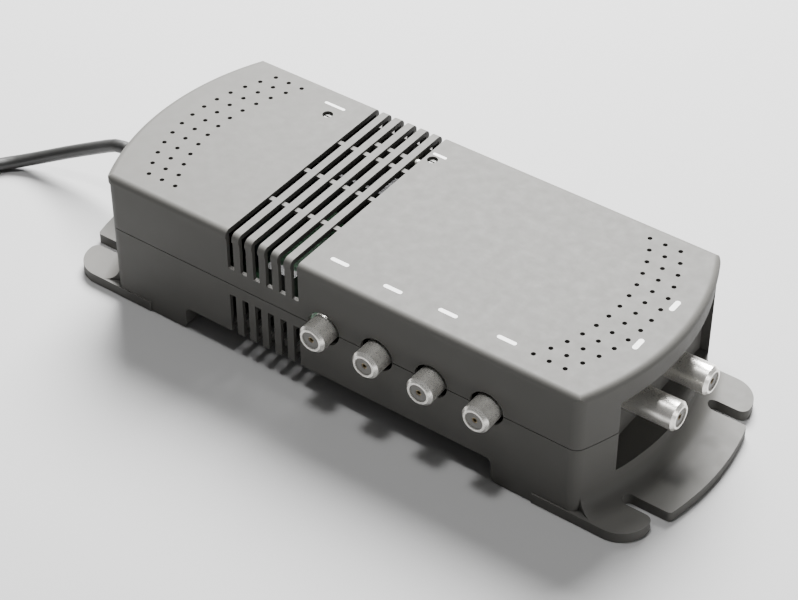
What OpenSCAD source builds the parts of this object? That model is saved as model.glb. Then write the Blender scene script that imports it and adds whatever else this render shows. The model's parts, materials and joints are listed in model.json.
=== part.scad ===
// Mains powered aerial signal booster: a two-part moulded case with screw-down
// ears, six coaxial sockets, a transformer supply and an amplifier board.
// Origin: centre of the case in plan, on the surface that the feet stand on.
// +X points to the input sockets, -Y to the output sockets, +Z up.

/* [Case] */
// Width of the case across the output side
body_w = 108; // [104:0.5:112]
// Length of the case over its two curved ends
body_len = 264.4; // [262:0.2:268]
// Height of the case above the mounting surface
case_h = 66.8; // [66:0.1:69]
// Plan radius of the curved ends
end_r = 120; // [110:1:125]
// Radius of the rolled top edge
edge_r = 3; // [2:0.5:5]
// How far the rolled edge stands proud of the walls below it
lip_step = 0.6; // [0.1:0.1:0.8]
// Plan radius of the upright corners
corner_r = 6; // [5:0.5:8]
// Height of the joint between the two case halves
seam_z = 38.7; // [38.5:0.1:39.5]
// Thickness of the moulded walls
wall_t = 2.5; // [2:0.1:2.8]
// Height of the cooling channel under the case
channel_z = 12; // [10:0.5:12]
// Half length of the cooling channel
foot_x = 80; // [78:0.5:81]
// Radius of the corners between the feet and the channel
foot_r = 3; // [1:0.5:3]

/* [Mounting ears] */
// Thickness of the ears and tongues
flange_t = 5; // [4:0.5:6]
// Reach of the ears from the centre
ear_x = 147; // [145:0.5:149]
// Corner radius of the ears
ear_r = 13.5; // [10:0.5:13.5]
// Reach of the tongues from the centre
tongue_x = 154.8; // [152:0.2:158]
// Plan radius of the tongue edge
tongue_r = 127; // [110:1:140]
// Width of the screw slots
slot_w = 5.9; // [5:0.1:6.2]
// Distance of the screw slots from the centre line
slot_y = 33.9; // [33:0.1:35]
// Inner end of the screw slots from the centre
slot_x = 131; // [130:0.5:134]

/* [Ventilation] */
// Number of cooling slots
vent_n = 6; // [4:1:6]
// Distance from one cooling slot to the next
vent_pitch = 6.8; // [6.5:0.1:7]
// Position of the first cooling slot
vent_x = -52.3; // [-54:0.1:-52]
// Width of a cooling slot
vent_w = 3.3; // [2.5:0.1:3.8]
// Lower end of the upper slots
vent_hi = 47.1; // [45:0.1:50]
// Upper end of the lower slots
vent_lo = 32.6; // [28:0.1:34]
// Lower end of the upper slots on the rear side
vent_rear_hi = 58; // [50:0.5:60]
// Upper end of the lower slots on the rear side
vent_rear_lo = 22; // [18:0.5:30]
// Diameter of the small air holes at both ends
air_d = 2.1; // [1.5:0.1:2.6]
// Air holes in each curved row
air_n = 13; // [9:2:13]

/* [Sockets] */
// Number of output sockets
out_n = 4; // [2:1:4]
// Position of the first output socket
out_x = -4; // [-6:0.5:-2]
// Distance from one output socket to the next
out_pitch = 27; // [24:0.5:27]
// Distance of the two input sockets from the centre line
in_y = 12.8; // [11:0.1:16]
// Outer diameter of the socket barrel
barrel_d = 12.9; // [12:0.1:12.9]
// Inner diameter of the socket barrel
barrel_bore = 8.4; // [8:0.1:9]
// How far the output barrels stand out of the case
out_reach = 8.4; // [6:0.1:12]
// End of the input barrels from the centre
in_tip = 142; // [138:0.5:146]

/* [Adjusters] */
// Position of the first gain adjuster along the case
trim1_x = -69.3; // [-71:0.1:-68]
// Position of the second gain adjuster along the case
trim2_x = -12.8; // [-13:0.1:-12.5]
// Distance of the adjusters from the centre line
trim_y = 36.5; // [36:0.1:38]
// Diameter of the access holes over the adjusters
trim_hole = 4.8; // [4.4:0.1:5.2]
// Diameter of the adjuster spindles
spindle_d = 3.4; // [3:0.1:3.8]

/* [Mains lead] */
// Diameter of the mains lead
cord_d = 6.2; // [6:0.1:6.8]
// Outer turn of the coiled lead, to the middle of the lead
coil_r = 46; // [45:0.5:47]
// Turns in one layer of the coil
coil_turns = 2.75; // [2.75:0.25:3]

/* [Hidden] */

$fn = 64;
eps = 0.1;
half_w = body_w / 2;
end_cx = body_len / 2 - end_r;
corner_y = half_w - corner_r;
corner_x = sqrt(pow(end_r - corner_r, 2) - pow(corner_y, 2));
lip_h = 1.2;
seam_gap = 0.4;
slot_in = slot_y - slot_w / 2;
slot_out = slot_y + slot_w / 2;
tongue_corner = 2;
root_r = 8;
flange_root = 100;

// rows of air holes follow a circle of their own
air_apex = 117.5;
air_r = 83.7;
air_step = 5.25;
air_rows = 3;
air_row_pitch = 7.3;
air_y = 1.5;

// bridges across the cooling slots in the lid
bridge_y = [-23.8, 0.3, 24.3];
bridge_len = 2.4;
bridge_drop = 1;
back_bridge_y = 31.5;
back_bridge_first = 2;

// recess around the input sockets
recess_front = -34.2;
recess_rear = 48.5;
recess_sill = 17.6;
recess_top = 54.3;
recess_back = 117;
recess_wall = 2;

board_z = 29.5;
board_t = 1.6;
board_top = board_z + board_t;
socket_block = 13;
socket_deep = 9;
side_hole_d = 16;
end_hole_d = 14.4;
rim_d = 10.3;
rim_len = 1.4;

case_screw_xy = [[-116, -36], [-116, 36], [112, -45], [112, 45]];
boss_r = 4;
boss_floor = 20;
board_post_xy = [[-71, -40], [-60, 40], [97, -40], [97, 40]];
mains_post_xy = [[-107, 43.5], [-87, 43.5]];
post_r = 3;
pilot_r = 1.25;

core_x = -101;
core_stack = 20;
core_w = 48;
core_h = 40;
core_z = 6;
frame_t = 1.2;
frame_screw_y = 31;

led_x = vent_x + (vent_n - 1) * vent_pitch;
led_y = 33.5;

cord_rad = cord_d / 2;
cord_y = 1;
cord_z = 30;
boot_tip = -158;
boot_root = -131.9;
boot_neck = 4.9;
clamp_x = -127;
clamp_len = 5;
clamp_w = 16;
clamp_z = cord_z - cord_rad - 1;
clamp_screw_y = 6;
coil_pitch = cord_d + 0.1;
coil_cx = -276;
coil_cy = -62;
coil_in = coil_r - coil_turns * coil_pitch;
layer_z = cord_rad + cord_d;
plug_z = 7;
plug_w = 35;
plug_len = 38;
plug_t = 13.6;
plug_y = -10;

// middle line of the lead from its boot to the coil
cord_path = [[-158, 1, 30], [-161, 1, 30], [-166, 1, 28.9], [-171, 1, 26.4], [-177, 0.8, 23.1],
    [-183, 0.3, 19.9], [-189, -0.7, 16.9], [-195, -2, 14], [-201, -3.6, 11.1], [-207, -5.5, 8.3],
    [-213, -8, 5.8], [-218, -10.8, 4.1], [-222, -14, 3.3], [-225.6, -18.2, 3.1], [-228, -23, 3.1],
    [-229.5, -29, 3.1], [-230, -36, 3.1], [-230, -49, 3.1], [-230, -62, 3.1]];
// middle line of the lead from the coil to the plug
tail_path = [[-322, -62, 9.3], [-322.2, -52, 9], [-322.2, -42, 8.2], [-322, -31, 7.4],
    [-322, -21, 7], [-322, -10, 7]];

// ---------------------------------------------------------------- helpers

// straight-sided solid of the case plan, smaller all round by inset
module case_prism(inset, z0, z1) {
    translate([0, 0, z0]) linear_extrude(z1 - z0) case_plan(inset);
}

// rectangle with bowed ends and round corners
module case_plan(inset) {
    translate([-end_cx - corner_x, inset - half_w]) square([2 * (end_cx + corner_x), body_w - 2 * inset]);
    both_ends() {
        intersection() {
            translate([end_cx, 0]) circle(r = end_r - inset, $fn = 180);
            end_sector();
        }
        for (s = [-1, 1])
            translate([end_cx + corner_x, s * corner_y]) circle(r = corner_r - inset, $fn = 64);
    }
}

// wedge from the middle of an end arc out through its two corners
module end_sector() {
    translate([end_cx, 0]) polygon([[0, 0], 1.3 * [corner_x, -corner_y], 1.3 * [corner_x, corner_y]]);
}

// half profile with a rolled top corner, from the axis outwards
module rolled_profile(reach) {
    square([reach, case_h - edge_r]);
    square([reach - edge_r, case_h]);
    translate([reach - edge_r, case_h - edge_r]) circle(r = edge_r);
}

// long block with bowed ends and a rolled top edge
module rolled_block() {
    both_ends() intersection() {
        translate([end_cx, 0, 0]) rotate_extrude($fn = 180) rolled_profile(end_r);
        rotate([90, 0, 90]) translate([0, 0, -eps]) linear_extrude(body_len) union() {
            rolled_profile(half_w);
            mirror([1, 0]) rolled_profile(half_w);
        }
    }
}

// outer shape of the lid: a rolled rim that stands a little proud of the walls under it
module lid_block() {
    case_prism(lip_step, seam_z, case_h - edge_r);
    intersection() {
        rolled_block();
        case_prism(0, case_h - edge_r - lip_h, case_h + 1);
    }
}

// box given by its two corners
module block(p, q) {
    translate(p) cube(q - p);
}

module both_ends() {
    children();
    mirror([1, 0, 0]) children();
}

module both_sides() {
    children();
    mirror([0, 1, 0]) children();
}

// cylinder along X, from x0 to x1
module rod_x(x0, x1, y, z, r) {
    translate([x0, y, z]) rotate([0, 90, 0]) cylinder(r = r, h = x1 - x0);
}

// cylinder along Y, from y0 to y1
module rod_y(x, y0, y1, z, r) {
    translate([x, y0, z]) rotate([-90, 0, 0]) cylinder(r = r, h = y1 - y0);
}

// tube swept along a list of points, with flat ends square to its path
function unit(v) = v / norm(v);
function heading(p, i) = unit(p[min(i + 1, len(p) - 1)] - p[max(i - 1, 0)]);
function ring(p, i, r, sides) = let (
    t = heading(p, i),
    a = unit(cross(t, abs(t[2]) > 0.9 ? [1, 0, 0] : [0, 0, 1])),
    b = cross(a, t)
) [for (k = [0:sides - 1]) p[i] + r * (cos(360 * k / sides) * a + sin(360 * k / sides) * b)];

module swept(p, r, sides = 10) {
    n = len(p);
    points = [for (i = [0:n - 1]) each ring(p, i, r, sides)];
    skin = [for (i = [0:n - 2], k = [0:sides - 1])
        [i * sides + k, i * sides + (k + 1) % sides, (i + 1) * sides + (k + 1) % sides, (i + 1) * sides + k]];
    first = [for (k = [0:sides - 1]) sides - 1 - k];
    last = [for (k = [0:sides - 1]) (n - 1) * sides + k];
    polyhedron(points, concat(skin, [first, last]));
}

// ---------------------------------------------------------------- case

// outline of one end plate, before its slots: two ears and a tongue between them
module flange_outline() {
    tongue_cx = tongue_x - tongue_r;
    tongue_w = slot_in - tongue_corner;
    tip_x = tongue_cx + sqrt(pow(tongue_r - tongue_corner, 2) - pow(tongue_w, 2));
    inner_r = half_w - slot_out - ear_r;
    translate([flange_root, -half_w + ear_r]) square([slot_x + slot_w - flange_root, body_w - 2 * ear_r]);
    intersection() {
        translate([tongue_cx, 0]) circle(r = tongue_r, $fn = 180);
        translate([flange_root, -tongue_w]) square([tongue_x, 2 * tongue_w]);
    }
    translate([flange_root, -slot_in]) square([tip_x - flange_root, 2 * slot_in]);
    both_rows() {
        translate([tip_x, tongue_w]) circle(r = tongue_corner);
        intersection() {
            translate([ear_x - ear_r, half_w - ear_r]) circle(r = ear_r);
            translate([flange_root, slot_out + inner_r]) square([ear_x, body_w]);
        }
        translate([ear_x - inner_r, slot_out + inner_r]) circle(r = inner_r);
        translate([flange_root, slot_out]) square([ear_x - inner_r - flange_root, inner_r + eps]);
        translate([flange_root, half_w - ear_r]) square([ear_x - ear_r - flange_root, ear_r]);
    }
}

module both_rows() {
    children();
    mirror([0, 1]) children();
}

// the space of the two open slots, as tall as the end plate's root fillet
module screw_slots() {
    both_sides() translate([slot_x + slot_w / 2, slot_y, -1]) {
        cylinder(d = slot_w, h = flange_t + root_r + 1);
        translate([0, -slot_w / 2, 0]) cube([60, slot_w, flange_t + root_r + 1]);
    }
}

// hollow fillet between an end wall and the end plate
module root_fillet() {
    intersection() {
        translate([end_cx, 0, flange_t - eps]) rotate_extrude($fn = 180)
            translate([end_r - lip_step - 1, 0]) difference() {
            square([root_r + 1, root_r]);
            translate([root_r + 1, root_r + eps]) circle(r = root_r);
        }
        linear_extrude(case_h) end_sector();
    }
}

module air_holes() {
    for (row = [0:air_rows - 1], k = [0:air_n - 1]) {
        a = (k - (air_n - 1) / 2) * air_step;
        x = air_apex - row * air_row_pitch - air_r * (1 - cos(a));
        translate([x, air_y + air_r * sin(a), case_h - 2 * wall_t])
            cylinder(d = air_d, h = 3 * wall_t, $fn = 24);
    }
}

module vent_slots(z0, z1, y0, y1) {
    for (k = [0:vent_n - 1])
        block([vent_x + k * vent_pitch - vent_w / 2, y0, z0], [vent_x + k * vent_pitch + vent_w / 2, y1, z1]);
}

module slot_bridges() {
    for (k = [0:vent_n - 1], y = bridge_y)
        block([vent_x + k * vent_pitch - vent_w / 2 - eps, y - bridge_len / 2, case_h - wall_t],
            [vent_x + k * vent_pitch + vent_w / 2 + eps, y + bridge_len / 2, case_h - bridge_drop]);
    for (k = [back_bridge_first:vent_n - 2])
        block([vent_x + k * vent_pitch - vent_w / 2 - eps, back_bridge_y, case_h - wall_t],
            [vent_x + k * vent_pitch + vent_w / 2 + eps, back_bridge_y + bridge_len, case_h - bridge_drop]);
}

// walls of the recess around the input sockets, between two heights
module recess_walls(z0, z1) {
    intersection() {
        block([recess_back - recess_wall, recess_front - recess_wall, z0],
            [body_len, recess_rear + recess_wall, z1]);
        case_prism(wall_t / 2, 0, case_h);
    }
}

module recess_space() {
    block([recess_back, recess_front, recess_sill], [body_len, recess_rear, recess_top]);
    for (s = [-1, 1])
        rod_x(recess_back - 2 * recess_wall, recess_back + eps, s * in_y, seam_z, end_hole_d / 2);
}

module output_holes() {
    for (k = [0:out_n - 1])
        rod_y(out_x + k * out_pitch, -half_w - 1, wall_t - half_w + 1, seam_z, side_hole_d / 2);
}

// the channel across the underside, with rounded corners where it meets the feet
module cooling_channel() {
    rotate([90, 0, 0]) translate([0, 0, -body_w]) linear_extrude(2 * body_w) {
        translate([-foot_x, -1]) square([2 * foot_x, channel_z - foot_r + 1]);
        translate([foot_r - foot_x, -1]) square([2 * (foot_x - foot_r), channel_z + 1]);
        for (s = [-1, 1]) {
            translate([s * (foot_x - foot_r), channel_z - foot_r]) circle(r = foot_r);
            difference() {
                translate([s * (foot_x + foot_r / 2) - foot_r / 2 - eps, -1])
                    square([foot_r + 2 * eps, foot_r + 1]);
                translate([s * (foot_x + foot_r), foot_r]) circle(r = foot_r);
            }
        }
    }
}

module cord_hole() {
    rod_x(-body_len, -body_len / 2 + 2 * wall_t, cord_y, cord_z, boot_neck + 0.1);
}

module upper_case() {
    color("#8f8e8b") difference() {
        union() {
            difference() {
                lid_block();
                case_prism(wall_t, seam_z - 1, case_h - wall_t);
            }
            recess_walls(seam_z, recess_top + recess_wall);
            for (p = case_screw_xy)
                translate([p[0], p[1], seam_z]) cylinder(r = boss_r, h = case_h - seam_z - 1);
        }
        recess_space();
        output_holes();
        both_ends() air_holes();
        difference() {
            union() {
                vent_slots(vent_hi, case_h + 1, -body_w, 0);
                vent_slots(vent_rear_hi, case_h + 1, -1, body_w);
            }
            slot_bridges();
        }
        for (x = [trim1_x, trim2_x])
            translate([x, trim_y, case_h - 2 * wall_t]) cylinder(d = trim_hole, h = 3 * wall_t);
        for (p = case_screw_xy)
            translate([p[0], p[1], seam_z - 1]) cylinder(r = 1.5, h = 13);
    }
}

module lower_case() {
    color("#6f6d68") difference() {
        union() {
            difference() {
                union() {
                    case_prism(lip_step, 0, seam_z - seam_gap);
                    case_prism(lip_step + seam_gap, seam_z / 2, seam_z);
                }
                cooling_channel();
                case_prism(wall_t, channel_z + wall_t, seam_z + 1);
                intersection() {
                    case_prism(wall_t, wall_t, seam_z + 1);
                    both_ends() block([foot_x + wall_t, -body_w, 0], [body_len, body_w, seam_z + 1]);
                }
            }
            both_ends() difference() {
                union() {
                    linear_extrude(flange_t) flange_outline();
                    root_fillet();
                }
                case_prism(wall_t, wall_t, seam_z);
                screw_slots();
            }
            recess_walls(recess_sill - recess_wall, seam_z);
            for (p = case_screw_xy)
                translate([p[0], p[1], 0.5]) cylinder(r = boss_r, h = seam_z - 0.5);
            for (p = board_post_xy)
                translate([p[0], p[1], p[0] > foot_x ? 1 : channel_z + 1])
                    cylinder(r = post_r, h = board_z - (p[0] > foot_x ? 1 : channel_z + 1));
            for (p = mains_post_xy)
                translate([p[0], p[1], 1]) cylinder(r = post_r, h = board_z - 1);
            both_sides() translate([core_x, frame_screw_y, 1]) cylinder(r = post_r + 1, h = core_z - 1);
            for (y = [-clamp_w / 2, clamp_w / 2 - 4])
                block([clamp_x, cord_y + y, 1], [clamp_x + clamp_len, cord_y + y + 4, clamp_z]);
        }
        recess_space();
        output_holes();
        cord_hole();
        vent_slots(channel_z - 1, vent_lo, -body_w, -12);
        vent_slots(channel_z - 1, vent_rear_lo, 12, body_w);
        for (p = case_screw_xy) {
            translate([p[0], p[1], -1]) cylinder(r = 3.2, h = boss_floor + 1);
            translate([p[0], p[1], 0]) cylinder(r = 1.7, h = case_h);
        }
        for (p = concat(board_post_xy, mains_post_xy))
            translate([p[0], p[1], board_z - 9]) cylinder(r = pilot_r, h = 10);
        both_sides() translate([core_x, frame_screw_y, wall_t + 0.2]) cylinder(r = 1.5, h = core_z);
        for (y = [-clamp_screw_y, clamp_screw_y])
            translate([clamp_x + clamp_len / 2, cord_y + y, clamp_z - 8]) cylinder(r = 1.1, h = 9);
    }
}

// ---------------------------------------------------------------- boards and shield

module main_board() {
    color("#2f6b3c") difference() {
        union() {
            block([-76, -46, board_z], [104, 46, board_top]);
            block([103, -24, board_z], [112, 24, board_top]);
        }
        for (p = board_post_xy) translate([p[0], p[1], 0]) cylinder(r = 1.5, h = case_h);
    }
}

module mains_board() {
    color("#b58a4a") difference() {
        block([-111, 27.5, board_z], [-82, 47.5, board_top]);
        for (p = mains_post_xy) translate([p[0], p[1], 0]) cylinder(r = 1.5, h = case_h);
    }
}

shield_lo = [-3, -33, board_top];
shield_hi = [99, 33, 46.5];
shield_t = 0.6;

module rf_shield() {
    color("#c9cbc8") difference() {
        block(shield_lo, shield_hi);
        block(shield_lo + [shield_t, shield_t, -1], shield_hi + [-shield_t, -shield_t, 1]);
    }
}

module rf_shield_lid() {
    color("#c3c5c2") difference() {
        block([shield_lo[0] - 0.7, shield_lo[1] - 0.7, shield_hi[2] - 4], shield_hi + [0.7, 0.7, 0.6]);
        block([shield_lo[0] - 0.1, shield_lo[1] - 0.1, shield_hi[2] - 5], shield_hi + [0.1, 0.1, 0]);
    }
}

// ---------------------------------------------------------------- sockets

// a socket with its axis along +Z, its mouth at z = reach and its block behind z = 0
module socket_shell(reach) {
    color("#cfccc4") difference() {
        union() {
            cylinder(d = barrel_d, h = reach - rim_len);
            translate([0, 0, reach - rim_len]) cylinder(d1 = barrel_d, d2 = rim_d, h = rim_len);
            translate([-socket_block / 2, board_top - seam_z, -socket_deep])
                cube([socket_block, seam_z - board_top + socket_block / 2, socket_deep]);
        }
        translate([0, 0, -2]) cylinder(d = barrel_bore, h = reach + 3);
    }
}

module socket_insulator(reach) {
    color("#d8d5cc") difference() {
        translate([0, 0, -2]) cylinder(d = barrel_bore - 0.04, h = reach + 1.4);
        translate([0, 0, -3]) cylinder(d = 2.7, h = reach + 4);
    }
}

module socket_contact(reach) {
    color("#c8b06a") difference() {
        translate([0, 0, -2]) cylinder(d = 2.66, h = reach + 1.2);
        translate([0, 0, reach - 10]) cylinder(d = 1.8, h = 12);
        translate([-2, -0.2, reach - 5]) cube([4, 0.4, 6]);
    }
}

module at_output(k) {
    translate([out_x + k * out_pitch, -47, seam_z]) rotate([90, 0, 0]) children();
}

module at_input(k) {
    translate([112.5, (k == 0 ? -1 : 1) * in_y, seam_z]) rotate([90, 0, 90]) children();
}

out_len = half_w + out_reach - 47;
in_len = in_tip - 112.5;

// ---------------------------------------------------------------- adjusters and lamp

module trimmer_body(x) {
    color("#2d4f8c") difference() {
        block([x - 3, trim_y - 3.5, board_top], [x + 3, trim_y + 3.5, board_top + 5]);
        translate([x, trim_y, board_top + 1]) cylinder(d = spindle_d + 0.2, h = 10);
    }
}

module trimmer_spindle(x) {
    top = case_h - 1.2;
    color("#b9b8b2") difference() {
        union() {
            translate([x, trim_y, board_top + 1.05]) cylinder(d = spindle_d, h = top - board_top - 1.05);
            translate([x, trim_y, board_top + 5.1]) cylinder(d = spindle_d + 2, h = 1.5);
        }
        block([x - spindle_d, trim_y - 0.4, top - 1], [x + spindle_d, trim_y + 0.4, top + 1]);
    }
}

module power_led() {
    color("#f1efe6") union() {
        translate([led_x, led_y, 58]) cylinder(d = 3, h = 6.6);
        translate([led_x, led_y, 64.6]) intersection() {
            sphere(d = 3);
            cylinder(d = 4, h = 2);
        }
    }
}

module led_spacer() {
    color("#1d1d1c") translate([led_x, led_y, board_top]) difference() {
        cylinder(r = 1.7, h = 58 - board_top);
        translate([0, 0, -1]) cylinder(r = 1, h = 26);
    }
}

// ---------------------------------------------------------------- power supply

module transformer_core() {
    leg = core_w / 6;
    color("#55585a") difference() {
        block([core_x - core_stack / 2, -core_w / 2, core_z],
            [core_x + core_stack / 2, core_w / 2, core_z + core_h]);
        both_sides() block([core_x - core_stack, leg, core_z + leg],
            [core_x + core_stack, 2 * leg, core_z + core_h - leg]);
    }
}

module coil_block(grow, z0, z1) {
    leg = core_w / 6;
    difference() {
        block([core_x - core_stack / 2 - grow, -leg - grow, z0],
            [core_x + core_stack / 2 + grow, leg + grow, z1]);
        block([core_x - core_stack / 2, -leg, z0 - 1], [core_x + core_stack / 2, leg, z1 + 1]);
    }
}

module transformer_bobbin() {
    lo = core_z + core_w / 6;
    hi = core_z + core_h - core_w / 6;
    color("#e8e2d0") union() {
        coil_block(1, lo, hi);
        for (z = [lo, (lo + hi) / 2 - 0.6, hi - 1.2])
            coil_block(6.6, z, z + 1.2);
    }
}

module winding(z0, z1) {
    leg = core_w / 6;
    difference() {
        coil_block(6, z0, z1);
        block([core_x - core_stack / 2 - 1, -leg - 1, z0 - 1],
            [core_x + core_stack / 2 + 1, leg + 1, z1 + 1]);
    }
}

module primary_winding() {
    color("#9c4a22") winding(core_z + core_w / 6 + 1.2, core_z + core_h / 2 - 0.6);
}

module secondary_winding() {
    color("#b8622c") winding(core_z + core_h / 2 + 0.6, core_z + core_h - core_w / 6 - 1.2);
}

module transformer_frame() {
    w = core_w / 2;
    x0 = core_x - core_stack / 2;
    x1 = core_x + core_stack / 2;
    color("#b4b6b5") difference() {
        union() {
            block([x0, -w - frame_t, core_z + core_h], [x1, w + frame_t, core_z + core_h + frame_t]);
            both_sides() block([x0, w, core_z], [x1, w + frame_t, core_z + core_h + frame_t]);
            both_sides() block([core_x - 5, w, core_z], [core_x + 5, w + 11.5, core_z + frame_t]);
        }
        both_sides() translate([core_x, frame_screw_y, core_z - 1]) cylinder(r = 1.8, h = 4);
    }
}

module pan_screw(r, head_r, head_h, len) {
    translate([0, 0, -len]) cylinder(r = r, h = len + eps);
    difference() {
        cylinder(r = head_r, h = head_h);
        for (a = [0, 90])
            rotate([0, 0, a]) translate([-head_r * 0.6, -0.3, head_h - 0.6]) cube([head_r * 1.2, 0.6, 1]);
    }
}

module transformer_screws() {
    color("#a9abab") both_sides() translate([core_x, frame_screw_y, core_z + frame_t])
        pan_screw(1.45, 2.8, 1.8, 4);
}

module smoothing_capacitor(x, y) {
    color("#20314f") translate([x, y, board_top]) difference() {
        cylinder(d = 12.5, h = 25);
        translate([0, 0, 2.5]) rotate_extrude() translate([6.7, 0]) circle(d = 1.6, $fn = 32);
    }
}

module bridge_rectifier() {
    color("#1f1f1f") block([-46, -39, board_top], [-31, -34, board_top + 11]);
}

module heatsink() {
    color("#9fa3a6") union() {
        block([-48, 14, board_top], [-24, 15.6, board_top + 26]);
        for (x = [-48, -42.4, -36.8, -31.2, -25.6])
            block([x, 15.5, board_top], [x + 1.6, 27, board_top + 26]);
    }
}

module voltage_regulator() {
    color("#262626") union() {
        block([-41, 9.4, board_top + 4], [-31, 13.9, board_top + 13]);
        block([-41, 12.7, board_top + 12.9], [-31, 13.9, board_top + 19]);
        for (x = [-38.6, -36.3, -34])
            block([x, 11, board_top], [x + 0.8, 11.6, board_top + 4.1]);
    }
}

module splitter_cores() {
    color("#3a3d40") for (x = [18, 40, 62])
        translate([x, -14, board_top + 4]) rotate([90, 0, 0]) difference() {
            cylinder(d = 8, h = 4);
            translate([0, 0, -1]) cylinder(d = 3.6, h = 6);
        }
}

module rf_transistors() {
    color("#2b2b2b") for (x = [56, 76])
        translate([x, 12, board_top]) intersection() {
            cylinder(d = 5, h = 4.6);
            block([-3, -1.6, 0], [3, 3, 5]);
        }
}

// ---------------------------------------------------------------- mains side

module fuse() {
    color("#dfe6e8") rod_x(-109, -89, 35, board_top + 4.5, 2.5);
}

module fuse_clips() {
    color("#c4a24c") for (x = [-107, -94])
        difference() {
            block([x, 31.8, board_top], [x + 3, 38.2, board_top + 6]);
            rod_x(x - 1, x + 4, 35, board_top + 4.5, 2.55);
        }
}

module terminal_block() {
    color("#d9d9d4") difference() {
        block([-104, 39, board_top], [-90, 47, board_top + 10]);
        for (x = [-100.5, -93.5])
            translate([x, 43, board_top + 7]) cylinder(r = 1.8, h = 5);
    }
}

module mains_wires() {
    color("#3565a5") swept([[-121.4, 2.6, 31], [-120.6, 2.6, 31], [-119.7, 5, 34],
        [-119.4, 10, 38], [-118.5, 16, 41.5],
        [-114, 25, 42], [-107, 32, 44.5], [-101.6, 38, 45.5], [-100.6, 41.8, 44.4], [-100.5, 43, 42],
        [-100.5, 43, 38.2]], 1.1, 8);
    color("#7a4a2a") swept([[-121.4, -0.6, 29], [-120.6, -0.6, 29], [-119.8, 3, 29],
        [-119.6, 9, 31], [-119.4, 15, 34],
        [-118, 21, 38], [-112, 27.5, 42], [-104, 30, 46.5], [-97, 34, 48], [-94, 40, 46.8],
        [-93.5, 42.6, 44.6], [-93.5, 43, 42], [-93.5, 43, 38.2]], 1.1, 8);
}

module secondary_wires() {
    color("#b33b2e") for (s = [-1, 1])
        swept([[-84.9, s * 4, 33], [-83.5, s * 4, 33], [-80, s * 4, 34.6], [-76, s * 4.5, 35.4],
            [-72.4, s * 5, 34.8], [-71.2, s * 5, 33], [-71, s * 5, board_top + 0.1]], 0.9, 8);
}

module cord_boot() {
    reach = boot_root - boot_tip;
    color("#232322") translate([boot_root, cord_y, cord_z]) rotate([0, -90, 0]) rotate_extrude() polygon([
        [0, -10.4], [cord_rad, -10.4], [cord_rad, -4.5], [7, -4.5], [7, -2.5], [boot_neck, -2.5],
        [boot_neck, 0], [7.2, 0], [7.2, 2.4], [5.8, 2.4], [cord_rad + 0.9, reach], [0, reach]]);
}

module cord_clamp() {
    color("#d8d6cf") difference() {
        block([clamp_x, cord_y - clamp_w / 2, clamp_z + 0.1],
            [clamp_x + clamp_len, cord_y + clamp_w / 2, cord_z + 6]);
        rod_x(clamp_x - 1, clamp_x + clamp_len + 1, cord_y, cord_z, cord_rad + 0.05);
        for (y = [-clamp_screw_y, clamp_screw_y])
            translate([clamp_x + clamp_len / 2, cord_y + y, 0]) cylinder(r = 1.2, h = case_h);
    }
}

module clamp_screws() {
    color("#a9abab") for (y = [-clamp_screw_y, clamp_screw_y])
        translate([clamp_x + clamp_len / 2, cord_y + y, cord_z + 6]) pan_screw(1.05, 1.9, 1.4, 16);
}

module case_screws() {
    color("#8d8f8f") for (p = case_screw_xy)
        translate([p[0], p[1], boss_floor]) mirror([0, 0, 1]) pan_screw(1.45, 2.9, 2.2, 28);
}

module board_screws() {
    color("#a9abab") for (p = concat(board_post_xy, mains_post_xy))
        translate([p[0], p[1], board_top]) pan_screw(1.2, 2.6, 1.8, 9);
}

// ---------------------------------------------------------------- lead and plug

module mains_cord() {
    color("#2a2a29") swept(cord_path, cord_rad);
}

module cord_coil() {
    color("#2a2a29") translate([coil_cx, coil_cy, 0]) difference() {
        cylinder(r = coil_r + cord_rad, h = layer_z + cord_rad, $fn = 96);
        translate([0, 0, -1]) cylinder(r = coil_in - cord_rad, h = 3 * cord_d, $fn = 96);
    }
}

module cord_tail() {
    color("#2a2a29") swept(tail_path, cord_rad);
}

module coil_tie() {
    a = coil_in - cord_rad;
    b = coil_r + cord_rad;
    color("#1b1b1b") translate([coil_cx, coil_cy, 0]) difference() {
        block([-5, -b - 1, 0], [5, 1.7 - a, layer_z + cord_rad + 1]);
        block([-6, -b, -1], [6, 0.7 - a, layer_z + cord_rad]);
    }
}

module plug_body() {
    x = tail_path[len(tail_path) - 1][0];
    round_r = 3;
    color("#242423") translate([x, plug_y, plug_z]) rotate([-90, 0, 0]) linear_extrude(plug_len) {
        square([plug_w - 2 * round_r, plug_t], center = true);
        square([plug_w, plug_t - 2 * round_r], center = true);
        for (s = [-1, 1], t = [-1, 1])
            translate([s * (plug_w / 2 - round_r), t * (plug_t / 2 - round_r)]) circle(r = round_r);
    }
}

module plug_pins() {
    x = tail_path[len(tail_path) - 1][0];
    color("#d2d3d3") for (s = [-1, 1])
        rod_y(x + s * 9.3, plug_y + plug_len - 6, plug_y + plug_len + 19, plug_z, 2);
}

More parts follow.
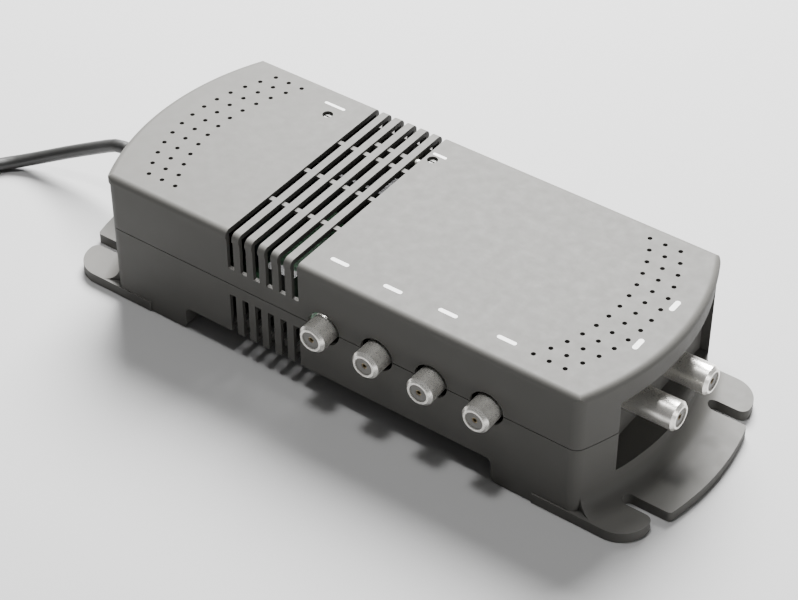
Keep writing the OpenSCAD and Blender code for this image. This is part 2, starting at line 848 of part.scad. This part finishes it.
upper_case();
lower_case();
main_board();
mains_board();
rf_shield();
rf_shield_lid();
at_output(0) socket_shell(out_len);  // output_socket_1
at_output(1) socket_shell(out_len);  // output_socket_2
at_output(2) socket_shell(out_len);  // output_socket_3
at_output(3) socket_shell(out_len);  // output_socket_4
at_output(0) socket_insulator(out_len);  // output_insulator_1
at_output(1) socket_insulator(out_len);  // output_insulator_2
at_output(2) socket_insulator(out_len);  // output_insulator_3
at_output(3) socket_insulator(out_len);  // output_insulator_4
at_output(0) socket_contact(out_len);  // output_contact_1
at_output(1) socket_contact(out_len);  // output_contact_2
at_output(2) socket_contact(out_len);  // output_contact_3
at_output(3) socket_contact(out_len);  // output_contact_4
at_input(0) socket_shell(in_len);  // input_socket_1
at_input(1) socket_shell(in_len);  // input_socket_2
at_input(0) socket_insulator(in_len);  // input_insulator_1
at_input(1) socket_insulator(in_len);  // input_insulator_2
at_input(0) socket_contact(in_len);  // input_contact_1
at_input(1) socket_contact(in_len);  // input_contact_2
trimmer_body(trim1_x);  // trimmer_body_1
trimmer_body(trim2_x);  // trimmer_body_2
trimmer_spindle(trim1_x);  // trimmer_spindle_1
trimmer_spindle(trim2_x);  // trimmer_spindle_2
power_led();
led_spacer();
transformer_core();
transformer_bobbin();
primary_winding();
secondary_winding();
transformer_frame();
transformer_screws();
smoothing_capacitor(-62, -24);  // smoothing_capacitor_1
smoothing_capacitor(-62, 18);  // smoothing_capacitor_2
bridge_rectifier();
voltage_regulator();
heatsink();
splitter_cores();
rf_transistors();
fuse();
fuse_clips();
terminal_block();
mains_wires();
secondary_wires();
cord_boot();
cord_clamp();
clamp_screws();
case_screws();
board_screws();
mains_cord();
cord_coil();
cord_tail();
coil_tie();
plug_body();
plug_pins();
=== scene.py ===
import json
from math import cos, pi, radians, sin

import bmesh
import bpy
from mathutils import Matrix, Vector


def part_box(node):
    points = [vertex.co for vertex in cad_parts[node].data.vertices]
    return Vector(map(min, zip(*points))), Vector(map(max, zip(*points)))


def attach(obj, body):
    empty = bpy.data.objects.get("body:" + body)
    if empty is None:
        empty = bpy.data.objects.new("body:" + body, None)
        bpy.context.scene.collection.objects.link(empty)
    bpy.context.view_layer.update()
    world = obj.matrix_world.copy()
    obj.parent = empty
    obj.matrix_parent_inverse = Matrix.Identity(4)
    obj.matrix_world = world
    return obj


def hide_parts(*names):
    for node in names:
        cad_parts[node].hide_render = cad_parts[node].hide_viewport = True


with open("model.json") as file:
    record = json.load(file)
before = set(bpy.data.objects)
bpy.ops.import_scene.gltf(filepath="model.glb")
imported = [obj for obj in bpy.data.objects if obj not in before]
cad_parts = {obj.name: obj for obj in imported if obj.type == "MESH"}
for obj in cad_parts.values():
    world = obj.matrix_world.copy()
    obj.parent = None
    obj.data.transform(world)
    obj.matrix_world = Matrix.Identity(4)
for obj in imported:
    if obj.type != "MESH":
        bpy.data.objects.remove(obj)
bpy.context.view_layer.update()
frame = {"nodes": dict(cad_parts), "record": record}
MM = 0.001
BODY = "amplifier"

# ------------------------------------------------------------------ sizes, in metres

top_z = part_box("upper_case")[1][2]
cord_d = 6.2 * MM
cord_r = cord_d / 2


# ------------------------------------------------------------------ camera

def add_camera():
    data = bpy.data.cameras.new("camera")
    data.lens = 101.61
    data.sensor_width = 36
    data.clip_start = 0.05
    cam = bpy.data.objects.new("camera", data)
    bpy.context.scene.collection.objects.link(cam)
    target = Vector((0.02962, -0.04683, 0.06684))
    azimuth, elevation, distance = radians(35.832), radians(40.718), 0.89738
    back = Vector((sin(azimuth) * cos(elevation), -cos(azimuth) * cos(elevation), sin(elevation)))
    cam.location = target + back * distance
    cam.rotation_euler = back.to_track_quat("Z", "Y").to_euler()
    bpy.context.scene.camera = cam


add_camera()


# ------------------------------------------------------------------ materials

def new_material(name):
    mat = bpy.data.materials.new(name)
    mat.use_nodes = True
    nodes = mat.node_tree.nodes
    return mat, nodes, mat.node_tree.links, nodes["Principled BSDF"]


def noise(nodes, links, coord, scale, detail=4.0, rough=0.5, stretch=None):
    """A noise texture in object coordinates."""
    tex = nodes.new("ShaderNodeTexNoise")
    tex.inputs["Scale"].default_value = scale
    tex.inputs["Detail"].default_value = detail
    tex.inputs["Roughness"].default_value = rough
    source = coord.outputs["Object"]
    if stretch:
        mapping = nodes.new("ShaderNodeMapping")
        mapping.inputs["Scale"].default_value = stretch
        links.new(source, mapping.inputs["Vector"])
        source = mapping.outputs["Vector"]
    links.new(source, tex.inputs["Vector"])
    return tex.outputs["Fac"]


def spread(nodes, links, value, low, high):
    """Maps a noise value from its usual middle range to low..high."""
    node = nodes.new("ShaderNodeMapRange")
    node.inputs["From Min"].default_value = 0.3
    node.inputs["From Max"].default_value = 0.7
    node.inputs["To Min"].default_value = low
    node.inputs["To Max"].default_value = high
    links.new(value, node.inputs["Value"])
    return node.outputs["Result"]


def surface(name, colour, rough, metallic=0.0, vary=0.08, patch=60.0, grain=3000.0, grain_depth=0.00002,
            rough_vary=0.06, stretch=None, coat=0.0, alpha=1.0, specular=0.5):
    """A procedural finish: broad colour drift, uneven roughness and a fine surface grain."""
    mat, nodes, links, shader = new_material(name)
    coord = nodes.new("ShaderNodeTexCoord")
    drift = spread(nodes, links, noise(nodes, links, coord, patch, 6.0, 0.6), 1 - vary, 1 + vary)
    mix = nodes.new("ShaderNodeVectorMath")
    mix.operation = "SCALE"
    mix.inputs[0].default_value = colour
    links.new(drift, mix.inputs["Scale"])
    links.new(mix.outputs["Vector"], shader.inputs["Base Color"])
    uneven = noise(nodes, links, coord, patch * 4, 5.0, 0.6, stretch)
    roughness = spread(nodes, links, uneven, rough - rough_vary, rough + rough_vary)
    links.new(roughness, shader.inputs["Roughness"])
    bump = nodes.new("ShaderNodeBump")
    bump.inputs["Strength"].default_value = 0.6
    bump.inputs["Distance"].default_value = grain_depth
    links.new(noise(nodes, links, coord, grain, 3.0, 0.6, stretch), bump.inputs["Height"])
    links.new(bump.outputs["Normal"], shader.inputs["Normal"])
    shader.inputs["Metallic"].default_value = metallic
    shader.inputs["Specular IOR Level"].default_value = specular
    shader.inputs["Coat Weight"].default_value = coat
    shader.inputs["Alpha"].default_value = alpha
    return mat


def shaded_solder_resist():
    """Green lacquer over copper tracks that run along the board; its greens are darkened as painted shade
    for the dark inside of the case.
    """
    mat, nodes, links, shader = new_material("board_green")
    coord = nodes.new("ShaderNodeTexCoord")
    brick = nodes.new("ShaderNodeTexBrick")
    # Greens far darker than real solder resist: painted shade standing in for the shadowed inside of the
    # case.
    brick.inputs["Color1"].default_value = (0.008, 0.035, 0.014, 1)
    brick.inputs["Color2"].default_value = (0.010, 0.045, 0.018, 1)
    brick.inputs["Mortar"].default_value = (0.005, 0.020, 0.008, 1)
    brick.inputs["Scale"].default_value = 90.0
    brick.inputs["Mortar Size"].default_value = 0.05
    links.new(coord.outputs["Object"], brick.inputs["Vector"])
    links.new(brick.outputs["Color"], shader.inputs["Base Color"])
    bump = nodes.new("ShaderNodeBump")
    bump.inputs["Distance"].default_value = 0.00004
    links.new(brick.outputs["Fac"], bump.inputs["Height"])
    links.new(bump.outputs["Normal"], shader.inputs["Normal"])
    links.new(spread(nodes, links, noise(nodes, links, coord, 300.0), 0.5, 0.65), shader.inputs["Roughness"])
    shader.inputs["Specular IOR Level"].default_value = 0.2
    return mat


def wound_wire():
    """Enamelled copper turns, as fine bands one above another; the dark part of each band is painted shade
    between turns and the bright part a painted highlight on each turn.
    """
    mat, nodes, links, shader = new_material("copper")
    coord = nodes.new("ShaderNodeTexCoord")
    wave = nodes.new("ShaderNodeTexWave")
    wave.bands_direction = "Z"
    wave.inputs["Scale"].default_value = 700.0
    wave.inputs["Distortion"].default_value = 0.6
    links.new(coord.outputs["Object"], wave.inputs["Vector"])
    ramp = nodes.new("ShaderNodeValToRGB")
    # Dark to bright across each band: painted shade in the grooves between turns and a painted highlight on
    # their crowns, over the copper's own colour.
    ramp.color_ramp.elements[0].color = (0.18, 0.05, 0.015, 1)
    ramp.color_ramp.elements[1].color = (0.62, 0.24, 0.09, 1)
    links.new(wave.outputs["Fac"], ramp.inputs["Fac"])
    links.new(ramp.outputs["Color"], shader.inputs["Base Color"])
    bump = nodes.new("ShaderNodeBump")
    bump.inputs["Distance"].default_value = 0.0001
    links.new(wave.outputs["Fac"], bump.inputs["Height"])
    links.new(bump.outputs["Normal"], shader.inputs["Normal"])
    shader.inputs["Metallic"].default_value = 0.7
    shader.inputs["Roughness"].default_value = 0.35
    return mat


MATERIALS = {
    "case_plastic": surface("case_plastic", (0.090, 0.088, 0.082), 0.55, vary=0.03, patch=45, grain=2600,
                            grain_depth=0.00003, rough_vary=0.05, specular=0.12),
    "board_green": shaded_solder_resist(),
    "board_brown": surface("board_brown", (0.06, 0.035, 0.016), 0.55, stretch=(1, 6, 1)),
    "tinned_steel": surface("tinned_steel", (0.30, 0.305, 0.30), 0.4, 1.0, grain=900, stretch=(1, 12, 12)),
    "nickel_plate": surface("nickel_plate", (0.90, 0.88, 0.83), 0.30, 0.8, vary=0.12, patch=220, grain=1500,
                            grain_depth=0.00001, rough_vary=0.08, stretch=(8, 1, 8)),
    "pale_insulator": surface("pale_insulator", (0.17, 0.165, 0.155), 0.55, vary=0.1, patch=400),
    "brass": surface("brass", (0.36, 0.29, 0.18), 0.42, 1.0, vary=0.1, patch=300),
    "trimmer_blue": surface("trimmer_blue", (0.03, 0.09, 0.30), 0.35, coat=0.2),
    "spindle_plastic": surface("spindle_plastic", (0.12, 0.12, 0.11), 0.5, vary=0.06, patch=300),
    "led_lens": surface("led_lens", (0.5, 0.5, 0.46), 0.2, coat=0.4, vary=0.03, patch=500),
    "black_plastic": surface("black_plastic", (0.02, 0.02, 0.02), 0.45),
    "core_steel": surface("core_steel", (0.04, 0.042, 0.045), 0.5, 0.6, grain=1200, grain_depth=0.0001,
                          stretch=(20, 1, 1)),
    "white_plastic": surface("white_plastic", (0.16, 0.15, 0.13), 0.5),
    "copper": wound_wire(),
    "capacitor_sleeve": surface("capacitor_sleeve", (0.010, 0.014, 0.028), 0.4, coat=0.3),
    "heatsink_metal": surface("heatsink_metal", (0.06, 0.06, 0.062), 0.5, 0.6, stretch=(1, 1, 14)),
    "fuse_glass": surface("fuse_glass", (0.85, 0.9, 0.92), 0.08, alpha=0.35, vary=0.02),
    "wire_insulation": surface("wire_insulation", (0.25, 0.06, 0.03), 0.4, vary=0.1),
    "cord_rubber": surface("cord_rubber", (0.028, 0.028, 0.027), 0.42, vary=0.15, patch=120, grain=1400,
                           grain_depth=0.00003, rough_vary=0.08),
    "screw_steel": surface("screw_steel", (0.16, 0.16, 0.15), 0.4, 1.0, vary=0.1, patch=400),
    "white_ink": surface("white_ink", (0.55, 0.55, 0.54), 0.5, vary=0.05, patch=900),
}

for part in frame["record"]["subparts"]:
    node = frame["nodes"][part["node"]]
    node.data.materials.clear()
    node.data.materials.append(MATERIALS[part["material_slot"]])


# ------------------------------------------------------------------ building helpers

def add_mesh(name, bm, look):
    """Turns a bmesh into a flat-shaded piece on the main body, with its look."""
    bmesh.ops.recalc_face_normals(bm, faces=bm.faces)
    mesh = bpy.data.meshes.new(name)
    bm.to_mesh(mesh)
    bm.free()
    for face in mesh.polygons:
        face.use_smooth = False
    obj = bpy.data.objects.new(name, mesh)
    bpy.context.scene.collection.objects.link(obj)
    mesh.materials.append(MATERIALS[look])
    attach(obj, BODY)


def round_edges(obj, width, segments=3, angle=28):
    """Rounds the sharp edges of a CAD node a little, so that they catch the light."""
    bevel = obj.modifiers.new("soft_edges", "BEVEL")
    bevel.width = width
    bevel.segments = segments
    bevel.limit_method = "ANGLE"
    bevel.angle_limit = radians(angle)
    bevel.use_clamp_overlap = False
    bevel.harden_normals = True


# ------------------------------------------------------------------ mains lead

lead_route = [Vector(p) * MM for p in (
    (-158, 1, 30), (-161, 1, 30), (-166, 1, 28.9), (-171, 1, 26.4), (-177, 0.8, 23.1), (-183, 0.3, 19.9),
    (-189, -0.7, 16.9), (-195, -2, 14), (-201, -3.6, 11.1), (-207, -5.5, 8.3), (-213, -8, 5.8),
    (-218, -10.8, 4.1), (-222, -14, 3.3), (-225.6, -18.2, 3.1), (-228, -23, 3.1), (-229.5, -29, 3.1),
    (-230, -36, 3.1), (-230, -49, 3.1))]
tail_route = [Vector(p) * MM for p in (
    (-322.2, -52, 9), (-322.2, -42, 8.2), (-322, -31, 7.4), (-322, -21, 7), (-322, -10, 7))]
coil_centre = Vector((-276, -62, 0)) * MM
coil_r = 46 * MM
coil_pitch = cord_d + 0.1 * MM
layer_turns = 2.75
steps_per_turn = 24


def coil_points():
    """Two flat layers of turns: inwards along the floor, then outwards on top."""
    points = []
    steps = int(layer_turns * steps_per_turn)
    low, high = cord_r, cord_r + cord_d
    for layer in (0, 1):
        for k in range(steps + 1):
            if layer and not k:
                continue
            turn = (k if layer == 0 else steps - k) / steps_per_turn
            angle = -2 * pi * (k + layer * steps) / steps_per_turn
            radius = coil_r - coil_pitch * turn
            climb = 0.0
            if layer == 0:
                climb = max(0.0, 1 - (steps - k) / 5) * 0.5
            else:
                climb = min(1.0, 0.5 + k / 10)
            height = low + (high - low) * climb
            points.append(coil_centre + Vector((radius * cos(angle), radius * sin(angle), height)))
    return points


def add_lead():
    """The whole lead as one round curve."""
    points = lead_route + coil_points() + tail_route
    curve = bpy.data.curves.new("mains_lead", "CURVE")
    curve.dimensions = "3D"
    curve.bevel_depth = cord_r
    curve.bevel_resolution = 6
    curve.use_fill_caps = True
    spline = curve.splines.new("POLY")
    spline.points.add(len(points) - 1)
    for point, place in zip(spline.points, points):
        point.co = (*place, 1)
    spline.use_smooth = True
    obj = bpy.data.objects.new("mains_lead", curve)
    bpy.context.scene.collection.objects.link(obj)
    curve.materials.append(MATERIALS["cord_rubber"])
    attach(obj, BODY)
    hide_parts("mains_cord", "cord_coil", "cord_tail")


add_lead()


# ------------------------------------------------------------------ stage

FLOOR_TONE = 0.36
SKY_STRENGTH = 0.14


def add_floor():
    mat, nodes, links, shader = new_material("studio_white")
    shader.inputs["Base Color"].default_value = (FLOOR_TONE, FLOOR_TONE, FLOOR_TONE, 1)
    shader.inputs["Roughness"].default_value = 0.9
    bm = bmesh.new()
    bmesh.ops.create_grid(bm, x_segments=1, y_segments=1, size=6)
    mesh = bpy.data.meshes.new("floor")
    bm.to_mesh(mesh)
    bm.free()
    floor = bpy.data.objects.new("floor", mesh)
    floor.location.z = -0.0003
    bpy.context.scene.collection.objects.link(floor)
    mesh.materials.append(mat)


def add_area(name, place, aim, size, power):
    data = bpy.data.lights.new(name, "AREA")
    data.shape = "DISK"
    data.size = size
    data.energy = power
    lamp = bpy.data.objects.new(name, data)
    lamp.location = place
    lamp.rotation_euler = (Vector(place) - Vector(aim)).to_track_quat("Z", "Y").to_euler()
    bpy.context.scene.collection.objects.link(lamp)


def add_world():
    world = bpy.data.worlds.new("studio")
    world.use_nodes = True
    world.node_tree.nodes["Background"].inputs["Color"].default_value = (1, 1, 1, 1)
    world.node_tree.nodes["Background"].inputs["Strength"].default_value = SKY_STRENGTH
    bpy.context.scene.world = world


add_floor()
add_world()
add_area("key", (-0.45, 0.95, 1.15), (0, 0, 0.04), 1.0, 185)
add_area("overhead", (-0.05, -0.12, 1.4), (0, -0.05, 0.03), 0.2, 11)
add_area("end_fill", (1.3, -0.1, 0.3), (0.13, 0, 0.03), 0.4, 5)

# ------------------------------------------------------------------ case

for name in ("upper_case", "lower_case"):
    round_edges(frame["nodes"][name], 0.2 * MM)


def add_dash(name, x, y, long_x, long_y):
    """A plain printed dash on the lid, with round ends."""
    short = min(long_x, long_y) / 2
    reach = (long_x / 2 - short, long_y / 2 - short)
    bm = bmesh.new()
    rim = []
    for k in range(32):
        angle = 2 * pi * (k + 0.5) / 32
        across, up = cos(angle), sin(angle)
        rim.append((x + short * across + (reach[0] if across > 0 else -reach[0]),
                    y + short * up + (reach[1] if up > 0 else -reach[1])))
    low = [bm.verts.new((a * MM, b * MM, top_z - 0.1 * MM)) for a, b in rim]
    high = [bm.verts.new((a * MM, b * MM, top_z + 0.04 * MM)) for a, b in rim]
    bm.faces.new(high)
    bm.faces.new(low[::-1])
    for k in range(32):
        m = (k + 1) % 32
        bm.faces.new((low[k], low[m], high[m], high[k]))
    add_mesh(name, bm, "white_ink")


for k, (x, y) in enumerate(((-3.7, -41.7), (23.7, -42.8), (50, -41.9), (77.8, -41.6)), 1):
    add_dash(f"output_mark_{k}", x, y, 9, 2)
for k, (x, y) in enumerate(((120.6, -13.6), (120.6, 14.4)), 1):
    add_dash(f"input_mark_{k}", x, y, 2.4, 7)
add_dash("gain_mark_1", -70.4, 43.3, 11, 1.5)
add_dash("gain_mark_2", -11.7, 40.5, 7, 1.5)
